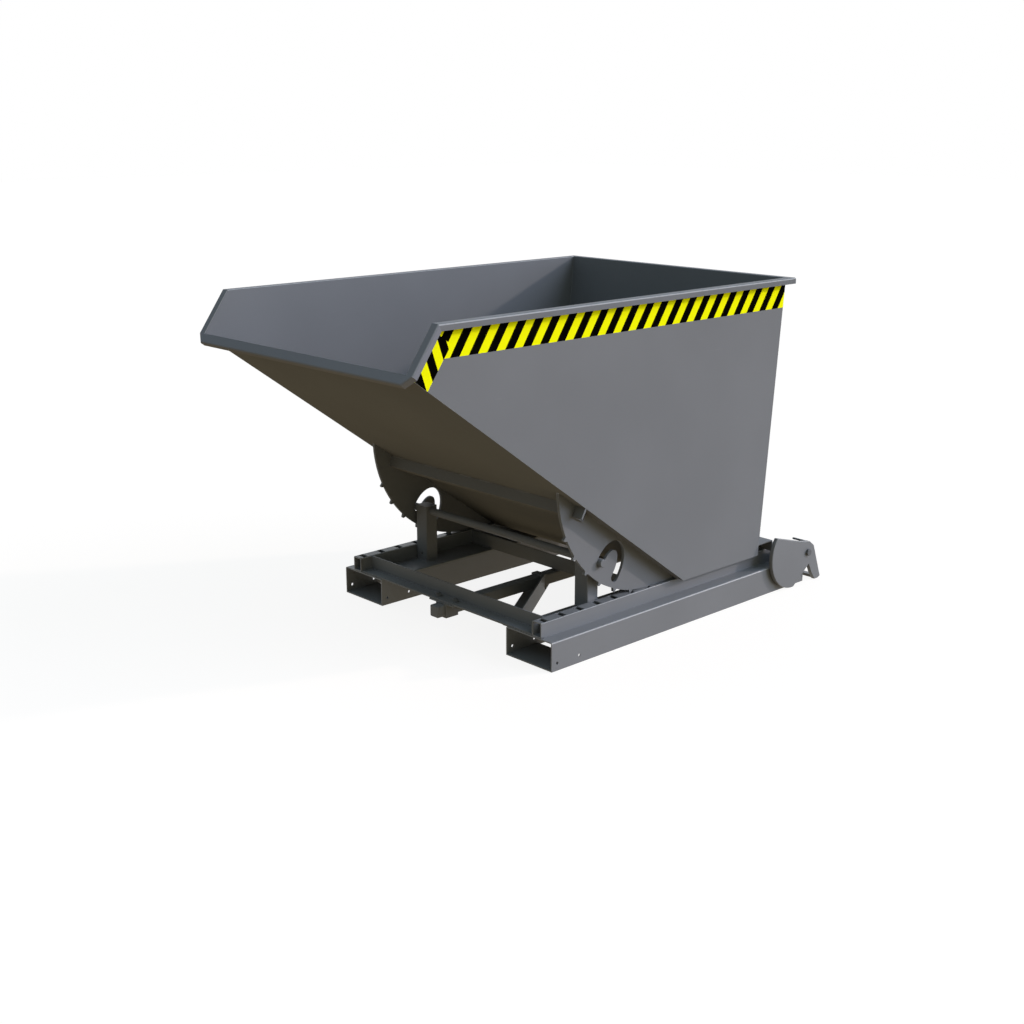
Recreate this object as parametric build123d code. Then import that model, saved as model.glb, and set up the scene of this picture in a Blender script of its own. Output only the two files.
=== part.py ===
# Roll-off tipping hopper: a sheet-steel hopper whose toothed rockers roll along slotted rails on a fork-pocket base.
# Millimetres, +Z up, the dump lip towards -Y, +X is the right-hand side. Y is measured from the roll line, where
# the rockers stand on the rails at rest; the finished parts are moved so the origin is the bottom centre of the box.
import math
import os

from build123d import *

# Clearances
roll_gap = 0.3
running_clearance = 0.05
seat_gap = 0.3
slide_clearance = 0.4
rod_play = 2.5
contact_gap = 0.5
bolt_play = 0.25

# Fork pockets
pocket_front_margin = 22.4
pocket_length = 1290.0
pocket_overhang = 19.0
pocket_width = 204.0
pocket_height = 96.0
pocket_wall = 4.0
pocket_bend = 6.0
strap_length = 140.0
strap_thickness = 5.0
pin_hole_radius = 5.0
pin_hole_height = 25.0
pin_hole_setback = 24.0
pin_hole_spacing = 97.0

# Slotted rails on the pocket tops
rail_inset = 49.0
rail_width = 40.0
rail_height = 50.0
rail_wall = 4.0
rail_bend = 3.5
rail_setback = 1.0
rail_rear_margin = 23.0
slot_along = 20.0

# Crossbeams of equal angle
angle_leg = 50.0
angle_thickness = 5.0
front_beam_setback = 3.0
middle_beam_y = 23.0

# Rolling gear
roll_radius = 412.0
tooth_pitch_degrees = 11.0
tooth_count = 7
tooth_root = 16.0
tooth_tip = 5.0
tooth_height = 11.0
tooth_lag = 4.5
rocker_thickness = 10.0
rod_diameter = 27.0
rod_forward_share = 0.5388
rod_height_share = 0.3204
rod_overhang = 15.0
slot_steps = 12

# Posts that carry the guide rod
post_width = 58.0
post_depth = 50.0
post_rail_gap = 5.0
post_above_rod = 19.0
post_wall = 4.0
post_hole_radius = 4.0
post_hole_height = 24.0

# Hopper shell
hopper_width = 1000.0
hopper_top = 1112.0
bottom_start = 139.0
bottom_length = 402.0
floor_slope = 35.6
mouth_height = 129.8
back_lean = 4.84
side_sheet = 3.0
floor_thickness = 3.0
bottom_thickness = 4.0
back_thickness = 4.0
rim_width = 26.0
rim_return = 20.0
rim_sheet = 3.0
rim_bend = 6.0
sheet_edge_radius = 2.5
lip_depth = 30.0
lip_return = 20.0
lip_seam_inset = 20.0
plug_radius = 12.0

# Cross stiffener, measured along the floor from the bottom fold and out from its lower face
stiffener_start = 530.0
stiffener_web = 45.0
stiffener_lean = 10.0
stiffener_depth = 35.0
stiffener_rear_depth = 30.0
stiffener_sheet = 4.0
stiffener_overhang = 8.0

# Angle beam across the back of the hopper
beam_depth = 80.0
beam_height = 40.0
beam_wall = 4.0

# Hazard tape on the side walls
tape_thickness = 0.4
tape_top_inset = 20.0
tape_front_inset = 10.0
tape_width = 80.0

# Push bar, its sleeve and its guide
bar_size = 40.0
bar_wall = 4.0
bar_stub = 31.0
bar_plate_gap = 1.0
bar_corner = 5.0
plug_cap = 8.0
plug_spigot = 15.0
sleeve_wall = 5.0
sleeve_plate_width = 120.0
sleeve_plate_thickness = 5.0
sleeve_bolt_x = 42.0
bolt_radius = 6.0
bolt_head_radius = 10.0
bolt_head_height = 8.0
bolt_nut_height = 10.0
bolt_thread_end = 3.0
guide_y = -45.0
guide_length = 28.0
guide_wall = 4.0
guide_foot = 30.0
brace_upright = 65.0
brace_foot = 70.0
brace_thickness = 5.0
brace_start_offset = 5.0
brace_end_setback = 30.0
brace_foot_setback = 66.0

# Latch hook behind the box beam
hook_thickness = 24.0
hook_arm = 30.0
hook_beam_gap = 17.0
hook_pivot_z = 35.0
hook_pin_radius = 8.0
hook_hub_radius = 14.0
hook_claw_height = 18.0
hook_claw_reach = 15.0
hook_claw_gap = 1.2
hook_release_degrees = 18.0
ear_thickness = 6.0
ear_gap = 2.0
ear_radius = 18.0
pin_overhang = 6.0
nose_radius = 8.0
nose_height = 78.0
nose_plate = 4.0
nose_neck = 6.0

# Fork locks
lock_setback = 5.0
lock_pivot_z = 115.0
lock_side_gap = 5.0
lock_thickness = 15.0
lock_bolt_radius = 8.0
lock_head_radius = 13.0
lock_head_height = 8.0
lock_nut_height = 10.0
lock_block_inset = 43.0
lock_block_half = 20.0
lock_block_top = 19.0
lock_nose_width = 12.0
lock_nose_top = 35.0
lock_weight_radius = 126.5
lock_weight_centre = (-85.0, 13.0)
lock_weight_top_angle = 143.0
lock_weight_tip_angle = 273.0
lock_bar_inset = 49.0
lock_bar_from = (58.0, -113.5)
lock_bar_size = (22.0, 10.0)
lock_stop_from = (-2.0, 35.0)
lock_stop_size = (6.0, 6.0)
lock_swing_degrees = 26.0

# Heights and places that follow from the sizes above
tip_degrees = tooth_pitch_degrees * (tooth_count - 1)
roll_travel = roll_radius * math.radians(tip_degrees)
pocket_front = -roll_travel - pocket_front_margin
half_width = hopper_width / 2
pocket_outer_x = half_width + pocket_overhang
rail_x = half_width - rail_inset
lip_seam_top = half_width - lip_seam_inset
lock_block_inner = pocket_outer_x - lock_block_inset
lock_bar_inner = pocket_outer_x - lock_bar_inset
rod_forward = roll_radius * rod_forward_share
rod_height = roll_radius * rod_height_share
rail_top = pocket_height + rail_height
rail_inner_x = rail_x - rail_width / 2
rail_front = pocket_front + rail_setback
rail_length = pocket_length - rail_setback - rail_rear_margin
hopper_bottom = rail_top + roll_gap
roll_z = rail_top + roll_radius
pocket_rear = pocket_front + pocket_length
pocket_inner_x = pocket_outer_x - pocket_width
rod_y = -rod_forward
rod_z = rail_top + rod_height
post_outer_x = rail_inner_x - post_rail_gap
front_beam_y = pocket_front + front_beam_setback + angle_leg


def polygon(points):
    return make_face(Polyline(*points, close=True))


def slab(profile, x_from, x_to):
    # A (y, z) profile made solid between two x places.
    return extrude(Plane.YZ.offset(x_from) * profile, amount=x_to - x_from)


def block(x_range, y_range, z_range):
    low = Vector(x_range[0], y_range[0], z_range[0])
    size = Vector(x_range[1], y_range[1], z_range[1]) - low
    return Pos(low + size / 2) * Box(size.X, size.Y, size.Z)


def round_bar(y, z, radius, x_from, x_to):
    return slab(Pos(y, z) * Circle(radius), x_from, x_to)


def upright_round(x, y, radius, z_from, z_to):
    return extrude(Plane.XY.offset(z_from) * Pos(x, y) * Circle(radius), amount=z_to - z_from)


def upright_hexagon(x, y, radius, z_from, z_to):
    return extrude(Plane.XY.offset(z_from) * Pos(x, y) * RegularPolygon(radius, 6), amount=z_to - z_from)


def left_of(part):
    return mirror(part, about=Plane.YZ)


def inset(path, distance):
    # The points of an open path moved to its left, with mitred corners.
    moved = []
    for index, point in enumerate(path):
        before = path[max(index - 1, 0)]
        after = path[min(index + 1, len(path) - 1)]
        runs = [(b[0] - a[0], b[1] - a[1]) for a, b in ((before, point), (point, after)) if a != b]
        normals = [(-dz / math.hypot(dy, dz), dy / math.hypot(dy, dz)) for dy, dz in runs]
        mean_y = sum(normal[0] for normal in normals) / len(normals)
        mean_z = sum(normal[1] for normal in normals) / len(normals)
        scale = distance / (mean_y ** 2 + mean_z ** 2)
        moved.append((point[0] + mean_y * scale, point[1] + mean_z * scale))
    return moved


def bands(path, thickness):
    # One four-sided profile for each run of the path.
    inner = inset(path, thickness)
    return [polygon([path[i], path[i + 1], inner[i + 1], inner[i]]) for i in range(len(path) - 1)]


def crossing(first, second):
    # Where the lines through two pairs of points meet.
    (ay, az), (by, bz) = first
    (cy, cz), (dy, dz) = second
    across = (by - ay) * (dz - cz) - (bz - az) * (dy - cy)
    share = ((cy - ay) * (dz - cz) - (cz - az) * (dy - cy)) / across
    return (ay + share * (by - ay), az + share * (bz - az))


def level(z):
    return [(0, z), (1, z)]


# Corners of the hopper's side as (y, z): back top, front top, lip, front fold and rear fold
slope = math.radians(floor_slope)
floor_length = (hopper_top - mouth_height - hopper_bottom) / math.sin(slope)
along_floor = (-math.cos(slope), math.sin(slope))
below_floor = (-math.sin(slope), -math.cos(slope))
front_fold = (bottom_start, hopper_bottom)
rear_fold = (bottom_start + bottom_length, hopper_bottom)
back_top = (rear_fold[0] + (hopper_top - hopper_bottom) * math.tan(math.radians(back_lean)), hopper_top)


def under_floor(along, out):
    y = front_fold[0] + along_floor[0] * along + below_floor[0] * out
    z = front_fold[1] + along_floor[1] * along + below_floor[1] * out
    return (y, z)


lip_corner = under_floor(floor_length, 0)
front_top = crossing([lip_corner, under_floor(floor_length, -1)], level(hopper_top))
mouth = Plane(origin=(0, *lip_corner), x_dir=(1, 0, 0), z_dir=(0, *along_floor))


def roll_point(radius, degrees):
    # A point about the roll axis, turned forwards from straight below it.
    angle = math.radians(degrees)
    return (-radius * math.sin(angle), roll_z - radius * math.cos(angle))


def fork_pocket():
    # Folded sheet: a top and two walls, open below and at both ends.
    y_range = (pocket_front, pocket_rear)
    pocket = block((pocket_inner_x, pocket_outer_x), y_range, (0, pocket_height))
    pocket = fillet(pocket.edges().filter_by(Axis.Y).group_by(Axis.Z)[-1], pocket_bend)
    clear_x = (pocket_inner_x + pocket_wall, pocket_outer_x - pocket_wall)
    pocket -= block(clear_x, y_range, (0, pocket_height - pocket_wall))
    for step in range(2):
        y = pocket_front + pin_hole_setback + step * pin_hole_spacing
        pocket -= round_bar(y, pin_hole_height, pin_hole_radius, pocket_inner_x, pocket_outer_x)
    return pocket


def pocket_strap(y_from):
    x_range = (pocket_inner_x + pocket_wall, pocket_outer_x - pocket_wall)
    return block(x_range, (y_from, y_from + strap_length), (0, strap_thickness))


def rail():
    # Box tube with a slot in its top for each rocker tooth.
    half = rail_width / 2
    y_range = (rail_front, rail_front + rail_length)
    tube = block((rail_x - half, rail_x + half), y_range, (pocket_height, rail_top))
    tube = fillet(tube.edges().filter_by(Axis.Y), rail_bend)
    inner_x = (rail_x - half + rail_wall, rail_x + half - rail_wall)
    tube -= block(inner_x, y_range, (pocket_height + rail_wall, rail_top - rail_wall))
    pitch = roll_radius * math.radians(tooth_pitch_degrees)
    for tooth in range(tooth_count):
        middle = tooth_lag - pitch * tooth
        slot_y = (middle - slot_along / 2, middle + slot_along / 2)
        tube -= block(inner_x, slot_y, (rail_top - rail_wall, rail_top))
    return tube


def crossbeam(upright_y, foot_side):
    # Angle between the rails: an upright leg, and a foot lying on the pocket tops.
    x_range = (-rail_inner_x, rail_inner_x)
    upright_y_range = sorted((upright_y, upright_y + foot_side * angle_thickness))
    foot_y_range = sorted((upright_y, upright_y + foot_side * angle_leg))
    upright = block(x_range, upright_y_range, (pocket_height, pocket_height + angle_leg))
    return upright + block(x_range, foot_y_range, (pocket_height, pocket_height + angle_thickness))


def post():
    top = rod_z + post_above_rod
    x_range = (post_outer_x - post_width, post_outer_x)
    y_range = (rod_y - post_depth / 2, rod_y + post_depth / 2)
    tube = block(x_range, y_range, (pocket_height, top))
    tube = fillet(tube.edges().filter_by(Axis.Z), post_wall)
    inner_x = (x_range[0] + post_wall, x_range[1] - post_wall)
    inner_y = (y_range[0] + post_wall, y_range[1] - post_wall)
    tube -= block(inner_x, inner_y, (pocket_height, top - post_wall))
    front = Plane(origin=(sum(x_range) / 2, y_range[0], pocket_height + post_hole_height), z_dir=(0, 1, 0))
    tube -= extrude(front * Circle(post_hole_radius), amount=post_wall)
    return tube - round_bar(rod_y, rod_z, rod_diameter / 2 + running_clearance, x_range[0], x_range[1])


def guide_rod():
    end = rail_x + rocker_thickness / 2 + rod_overhang
    rod = round_bar(rod_y, rod_z, rod_diameter / 2, -end, end)
    return chamfer(rod.edges().filter_by(GeomType.CIRCLE), 2)


def guide_slot():
    # The path of the fixed rod through the rocker while it rolls, widened to a slot with round ends.
    half = rod_diameter / 2 + rod_play
    drop = roll_radius - rod_height
    last = math.radians(tip_degrees)

    def centre(angle):
        run = rod_forward - roll_radius * angle
        forward = run * math.cos(angle) + drop * math.sin(angle)
        return (-forward, roll_z + run * math.sin(angle) - drop * math.cos(angle))

    def heading(angle):
        run = rod_forward - roll_radius * angle
        back = rod_height * math.cos(angle) + run * math.sin(angle)
        up = run * math.cos(angle) - rod_height * math.sin(angle)
        return (back / math.hypot(back, up), up / math.hypot(back, up))

    def beside(angle, along, across):
        y, z = centre(angle)
        heading_y, heading_z = heading(angle)
        return (y + heading_y * along - heading_z * across, z + heading_z * along + heading_y * across)

    angles = [last * step / slot_steps for step in range(slot_steps + 1)]
    outer = Spline(*[beside(angle, 0, half) for angle in angles])
    inner = Spline(*[beside(angle, 0, -half) for angle in angles])
    start = ThreePointArc(beside(0, 0, half), beside(0, -half, 0), beside(0, 0, -half))
    finish = ThreePointArc(beside(last, 0, half), beside(last, half, 0), beside(last, 0, -half))
    return make_face([outer, finish, inner, start])


def stiffener_path():
    return [
        under_floor(stiffener_start + stiffener_web + stiffener_lean, 0),
        under_floor(stiffener_start + stiffener_web, stiffener_depth),
        under_floor(stiffener_start, stiffener_rear_depth),
        under_floor(stiffener_start, 0),
    ]


def rocker():
    # Plate under the floor: flat behind the roll line, then an arc with teeth that ends at the floor.
    radius = roll_radius - roll_gap
    fold_z = front_fold[1] - roll_z
    half_b = along_floor[0] * front_fold[0] + along_floor[1] * fold_z
    rest = front_fold[0] ** 2 + fold_z ** 2 - radius ** 2
    top = under_floor(-half_b + math.sqrt(half_b ** 2 - rest), 0)
    sweep = math.degrees(math.atan2(-top[0], roll_z - top[1]))
    low = roll_point(radius, 0)
    arc = ThreePointArc(low, roll_point(radius, sweep / 2), top)
    outline = make_face([Line(front_fold, low), arc, Line(top, front_fold)])
    root = math.degrees(tooth_root / 2 / radius)
    tip = math.degrees(tooth_tip / 2 / radius)
    for tooth in range(tooth_count):
        angle = tooth * tooth_pitch_degrees - math.degrees(tooth_lag / roll_radius)
        outline += polygon([
            roll_point(radius - tooth_height, angle - root),
            roll_point(radius, angle - root),
            roll_point(radius + tooth_height, angle - tip),
            roll_point(radius + tooth_height, angle + tip),
            roll_point(radius, angle + root),
            roll_point(radius - tooth_height, angle + root),
        ])
    outline -= polygon(stiffener_path())
    outline -= guide_slot()
    return slab(outline, rail_x - rocker_thickness / 2, rail_x + rocker_thickness / 2)


def cross_stiffener():
    reach = rail_x + rocker_thickness / 2 + stiffener_overhang
    folds = bands(stiffener_path(), stiffener_sheet)
    return slab((folds[0] + folds[1] + folds[2]) & polygon(stiffener_path()), -reach, reach)


def halfway(first, second):
    return ((first[0] + second[0]) / 2, (first[1] + second[1]) / 2)


def edge_at(part, x, place):
    return part.edges().sort_by_distance(Vector(x, *place))[0]


def side_wall():
    outline = polygon([back_top, front_top, lip_corner, front_fold, rear_fold])
    hole = Pos(0, roll_z) * Circle(plug_radius + running_clearance)
    wall = slab(outline - hole, half_width - side_sheet, half_width)
    inner_x = half_width - side_sheet
    edges = [edge_at(wall, inner_x, halfway(*run)) for run in ((back_top, front_top), (front_top, lip_corner))]
    return fillet(edges, sheet_edge_radius)


def roll_plug():
    return round_bar(0, roll_z, plug_radius, half_width - side_sheet, half_width)


def shell_sheets():
    # Floor, bottom and back between the side walls, mitred where they meet.
    floor_inner = inset([lip_corner, front_fold], floor_thickness)
    bottom_inner = inset([front_fold, rear_fold], bottom_thickness)
    back_inner = inset([rear_fold, back_top], back_thickness)
    front_inner = crossing(floor_inner, bottom_inner)
    rear_inner = crossing(bottom_inner, back_inner)
    outlines = {
        "floor_sheet": [lip_corner, front_fold, front_inner, floor_inner[0]],
        "bottom_plate": [front_fold, rear_fold, rear_inner, front_inner],
        "back_sheet": [rear_fold, back_top, crossing(back_inner, level(hopper_top)), rear_inner],
    }
    reach = half_width - side_sheet
    sheets = {name: slab(polygon(points), -reach, reach) for name, points in outlines.items()}
    sheets["floor_sheet"] = fillet(edge_at(sheets["floor_sheet"], 0, floor_inner[0]), sheet_edge_radius)
    sheets["back_sheet"] = fillet(edge_at(sheets["back_sheet"], 0, outlines["back_sheet"][2]), sheet_edge_radius)
    return sheets


def rim_rear():
    return back_top[0] + rim_width


def folded(part, outside, inside):
    # Rounds the folds of a bent sheet, outside and inside, each edge named by x and a (y, z) place on it.
    part = fillet([edge_at(part, *place) for place in outside], rim_bend)
    return fillet([edge_at(part, *place) for place in inside], rim_bend - rim_sheet)


def side_rims():
    # Folded edge in two runs: a flange standing out from the wall, turned down at the outside and at the rear.
    path = [(rim_rear(), hopper_top), front_top, lip_corner]
    under = inset(path, rim_sheet)
    outer = half_width + rim_width
    inner = outer - rim_sheet
    rims = []
    for flange, turned in zip(bands(path, rim_sheet), bands(path, rim_return)):
        rims.append(slab(flange, half_width, outer) + slab(turned, inner, outer))
    rear_y = (rim_rear() - rim_sheet, rim_rear())
    low = hopper_top - rim_return
    top = rims[0] + block((half_width, outer), rear_y, (low, hopper_top))
    middle_x = half_width + rim_width / 2
    middle_z = hopper_top - rim_return / 2
    outside = [(outer, halfway(path[0], path[1])), (middle_x, path[0]), (outer, (rear_y[1], middle_z))]
    inside = [(inner, halfway(under[0], under[1])), (middle_x, (rear_y[0], hopper_top - rim_sheet)),
              (inner, (rear_y[0], middle_z))]
    front = folded(rims[1], [(outer, halfway(path[1], path[2]))], [(inner, halfway(under[1], under[2]))])
    return [folded(top, outside, inside), front]


def rear_rim():
    low = hopper_top - rim_return
    flange = block((-half_width, half_width), (back_top[0], rim_rear()), (hopper_top - rim_sheet, hopper_top))
    turned = block((-half_width, half_width), (rim_rear() - rim_sheet, rim_rear()), (low, hopper_top))
    outside = (0, (rim_rear(), hopper_top))
    inside = (0, (rim_rear() - rim_sheet, hopper_top - rim_sheet))
    return folded(flange + turned, [outside], [inside])


def mouth_plate(points, depth):
    # A plate whose front face lies in the plane of the hopper's mouth.
    return extrude(mouth * polygon(points), amount=-depth)


def on_mouth(point, out):
    # The x and (y, z) of a point given in the mouth plane and out from it.
    place = mouth.from_local_coords(Vector(*point, out))
    return (place.X, (place.Y, place.Z))


# Corners of the lip in the mouth plane, as (x, height below zero): its outer end, its foot and the seam between them
lip_outer = (half_width + rim_width, 0.0)
lip_foot = (lip_outer[0] - lip_depth, -lip_depth)
lip_seam = [(lip_seam_top, 0.0), lip_foot]


def front_lip():
    # Folded plate, slanting outwards at its ends down to the lip's foot.
    edge = crossing(lip_seam, level(rim_sheet - lip_depth))
    face = [lip_seam[0], lip_foot, (-lip_foot[0], lip_foot[1]), (-lip_seam_top, 0)]
    turned = [edge, lip_foot, (-lip_foot[0], lip_foot[1]), (-edge[0], edge[1])]
    lip = mouth_plate(face, rim_sheet) + mouth_plate(turned, lip_return)
    return folded(lip, [on_mouth((0, -lip_depth), 0)], [on_mouth((0, rim_sheet - lip_depth), -rim_sheet)])


def lip_end():
    # Corner triangle between the lip and the front rim, turned back along its slanting edge.
    slant = [lip_foot, lip_outer]
    inner = inset(slant, rim_sheet)
    turned = [lip_outer, lip_foot, crossing(inner, lip_seam), crossing(inner, level(0))]
    end = mouth_plate([lip_seam[0], lip_foot, lip_outer], rim_sheet) + mouth_plate(turned, lip_return)
    return folded(end, [on_mouth(halfway(*slant), 0)], [on_mouth(halfway(turned[2], turned[3]), -rim_sheet)])


def box_beam():
    # Angle closed by the leaning back: a top leg out from the back and a rear leg down from it.
    lean = math.tan(math.radians(back_lean))
    top = hopper_bottom + beam_height
    under = top - beam_wall
    rear = rear_fold[0] + beam_height * lean + beam_depth
    outline = [
        (rear_fold[0] + beam_height * lean, top), (rear, top), (rear, hopper_bottom),
        (rear - beam_wall, hopper_bottom), (rear - beam_wall, under),
        (rear_fold[0] + (beam_height - beam_wall) * lean, under),
    ]
    return slab(polygon(outline), -half_width, half_width)


def hazard_tape():
    # One strip under the top rim and one along the front edge, down to the floor line.
    front_edge = [front_top, lip_corner]
    near = inset(front_edge, tape_front_inset)
    far = inset(front_edge, tape_front_inset + tape_width)
    upper = level(hopper_top - tape_top_inset)
    lower = level(hopper_top - tape_top_inset - tape_width)
    back = [rear_fold, back_top]
    floor = [front_fold, lip_corner]
    top_strip = [crossing(back, upper), crossing(far, upper), crossing(far, lower), crossing(back, lower)]
    front_strip = [crossing(near, upper), crossing(near, floor), crossing(far, floor), crossing(far, upper)]
    outline = polygon(top_strip) + polygon(front_strip)
    return slab(outline, half_width, half_width + tape_thickness)


# Places along the push bar and the latch
bar_top = pocket_height - sleeve_plate_thickness - bar_plate_gap
bar_bottom = bar_top - bar_size
half_bar = bar_size / 2
bar_front = pocket_front - bar_stub
beam_rear = rear_fold[0] + beam_height * math.tan(math.radians(back_lean)) + beam_depth
hook_front_y = beam_rear + hook_beam_gap
hook_pivot_y = hook_front_y + hook_arm / 2
release = math.radians(hook_release_degrees)
lean_rise = math.tan(release)
lean_half = hook_arm / 2 / math.cos(release)
nose_offset = nose_radius + contact_gap + hook_arm / 2 - (nose_height - hook_pivot_z) * math.sin(release)
nose_ball_y = hook_pivot_y - nose_offset / math.cos(release)
rear_beam_y = hook_pivot_y + lean_half + (pocket_height + angle_leg - hook_pivot_z) * lean_rise + contact_gap
bar_travel = nose_ball_y - (hook_front_y - nose_radius - contact_gap)


def sleeve_places():
    return (pocket_front, front_beam_y)


def bar_sleeve():
    # A plate under the front beam's foot with a U below it, round the push bar.
    inner = half_bar + slide_clearance
    outer = inner + sleeve_wall
    plate_z = (pocket_height - sleeve_plate_thickness, pocket_height)
    half_plate = sleeve_plate_width / 2
    y_range = sleeve_places()
    plate = block((-half_plate, half_plate), y_range, plate_z)
    low = bar_bottom - slide_clearance
    cup = block((-outer, outer), y_range, (low - sleeve_wall, plate_z[0]))
    cup -= block((-inner, inner), y_range, (low, plate_z[0]))
    sleeve = plate + cup
    middle = sum(y_range) / 2
    for x in (-sleeve_bolt_x, sleeve_bolt_x):
        sleeve -= upright_round(x, middle, bolt_radius + bolt_play, plate_z[0], plate_z[1])
    return sleeve


def front_crossbeam():
    beam = crossbeam(front_beam_y, -1)
    middle = sum(sleeve_places()) / 2
    for x in (-sleeve_bolt_x, sleeve_bolt_x):
        beam -= upright_round(x, middle, bolt_radius + bolt_play, pocket_height, pocket_height + angle_thickness)
    return beam


def sleeve_bolt(x):
    y = sum(sleeve_places()) / 2
    head_top = pocket_height - sleeve_plate_thickness
    nut_bottom = pocket_height + angle_thickness
    nut_top = nut_bottom + bolt_nut_height
    bolt = upright_hexagon(x, y, bolt_head_radius, head_top - bolt_head_height, head_top)
    bolt += upright_round(x, y, bolt_radius, head_top, nut_top + bolt_thread_end)
    return bolt + upright_hexagon(x, y, bolt_head_radius, nut_bottom, nut_top)


def bar_guide():
    # A closed strap round the push bar, standing on the brace's foot.
    inner = half_bar + slide_clearance
    outer = inner + guide_wall
    y_range = (guide_y - guide_length / 2, guide_y + guide_length / 2)
    low = bar_bottom - slide_clearance - guide_wall
    strap = block((-outer, outer), y_range, (low, bar_top + slide_clearance + guide_wall))
    strap -= block((-inner, inner), y_range, (low + guide_wall, bar_top + slide_clearance))
    foot_top = pocket_height - brace_upright + brace_thickness
    return strap + block((-guide_foot / 2, guide_foot / 2), y_range, (foot_top, low))


def diagonal_brace():
    # Angle from the bar guide to the right pocket: the upright leg stops at the guide, the foot runs on below it.
    start = Vector(half_bar + slide_clearance + guide_wall, guide_y + brace_start_offset)
    end = Vector(pocket_inner_x, pocket_front + brace_end_setback)
    along = (end - start).normalized()
    low = pocket_height - brace_upright
    run = Plane(origin=(start.X, start.Y, low), x_dir=(along.Y, -along.X, 0), z_dir=(along.X, along.Y, 0))
    side = -1 if run.x_dir.X > 0 else 1
    height = 1 if run.y_dir.Z > 0 else -1
    upright = polygon([(0, 0), (side * brace_thickness, 0), (side * brace_thickness, height * brace_upright),
                       (0, height * brace_upright)])
    foot = polygon([(0, 0), (side * brace_foot, 0), (side * brace_foot, height * brace_thickness),
                    (0, height * brace_thickness)])
    reach = (end - start).length + brace_foot * 2
    y_range = (front_beam_y - angle_leg, guide_y + guide_length / 2 + brace_foot)
    leg = extrude(run * upright, amount=reach, both=True)
    leg = leg & block((start.X, end.X), y_range, (low, pocket_height))
    ledge = extrude(run * foot, amount=reach, both=True)
    ledge_y = (front_beam_y + brace_foot_setback, y_range[1])
    ledge = ledge & block((-start.X, end.X), ledge_y, (low, low + brace_thickness))
    return leg + ledge


def push_bar():
    y_range = (bar_front + plug_cap, nose_ball_y - nose_neck - nose_plate)
    tube = block((-half_bar, half_bar), y_range, (bar_bottom, bar_top))
    tube = fillet(tube.edges().filter_by(Axis.Y), bar_corner)
    inner = half_bar - bar_wall
    return tube - block((-inner, inner), y_range, (bar_bottom + bar_wall, bar_top - bar_wall))


def push_bar_plug():
    # Rounded cap with a spigot inside the tube.
    y_range = (bar_front, bar_front + plug_cap)
    cap = block((-half_bar, half_bar), y_range, (bar_bottom, bar_top))
    cap = fillet(cap.edges().filter_by(Axis.Y), bar_corner)
    cap = fillet(cap.faces().sort_by(Axis.Y)[0].edges(), bar_corner - 1)
    inner = half_bar - bar_wall
    spigot_y = (y_range[1], y_range[1] + plug_spigot)
    return cap + block((-inner, inner), spigot_y, (bar_bottom + bar_wall, bar_top - bar_wall))


def push_bar_nose():
    # End plate with a ball-ended stud that pushes the hook's arm.
    face = nose_ball_y - nose_neck
    plate = block((-half_bar, half_bar), (face - nose_plate, face), (bar_bottom, bar_top))
    plate = fillet(plate.edges().filter_by(Axis.Y), bar_corner)
    base = Plane(origin=(0, face, nose_height), x_dir=(1, 0, 0), z_dir=(0, 1, 0))
    neck = extrude(base * Circle(nose_radius), amount=nose_neck)
    return plate + neck + Pos(0, nose_ball_y, nose_height) * Sphere(nose_radius)


def latch_bracket():
    # Two ears standing forward from the rear beam, one at each side of the push bar and the hook.
    inner = half_bar + ear_gap
    ear = polygon([
        (hook_pivot_y - ear_radius, hook_pivot_z),
        (hook_pivot_y - ear_radius, bar_top),
        (rear_beam_y - ear_radius, pocket_height + angle_leg),
        (rear_beam_y, pocket_height + angle_leg),
        (rear_beam_y, pocket_height),
        (hook_pivot_y + ear_radius, hook_pivot_z),
    ])
    ear += Pos(hook_pivot_y, hook_pivot_z) * Circle(ear_radius)
    ear -= Pos(hook_pivot_y, hook_pivot_z) * Circle(hook_pin_radius + running_clearance)
    right = slab(ear, inner, inner + ear_thickness)
    return Compound(children=[right, left_of(right)])


def latch_pin():
    end = half_bar + ear_gap + ear_thickness + pin_overhang
    pin = round_bar(hook_pivot_y, hook_pivot_z, hook_pin_radius, -end, end)
    return chamfer(pin.edges().filter_by(GeomType.CIRCLE), 1)


def latch_hook():
    # Drawn closed over the box beam, then leaned back to the released position it is shown in.
    claw_z = hopper_bottom + beam_height + hook_claw_gap
    claw_top = claw_z + hook_claw_height
    rear = hook_front_y + hook_arm
    outline = polygon([
        (hook_front_y, hook_pivot_z),
        (hook_front_y, claw_z),
        (beam_rear - hook_claw_reach, claw_z),
        (beam_rear - hook_claw_reach, claw_z + hook_claw_height / 2),
        (beam_rear, claw_top),
        (rear, claw_top),
        (rear, hook_pivot_z),
    ])
    outline += Pos(hook_pivot_y, hook_pivot_z) * Circle(hook_arm / 2)
    hub = half_bar + ear_gap - seat_gap
    hook = slab(outline, -hook_thickness / 2, hook_thickness / 2)
    hook += round_bar(hook_pivot_y, hook_pivot_z, hook_hub_radius, -hub, hub)
    hook -= round_bar(hook_pivot_y, hook_pivot_z, hook_pin_radius + running_clearance, -hub, hub)
    return hook.rotate(Axis((0, hook_pivot_y, hook_pivot_z), (1, 0, 0)), -hook_release_degrees)


# Places of the fork locks
lock_pivot_y = pocket_rear - lock_setback
lock_inner_x = pocket_outer_x + lock_side_gap
lock_outer_x = lock_inner_x + lock_thickness


def at_lock(offset):
    return (lock_pivot_y + offset[0], lock_pivot_z + offset[1])


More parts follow.
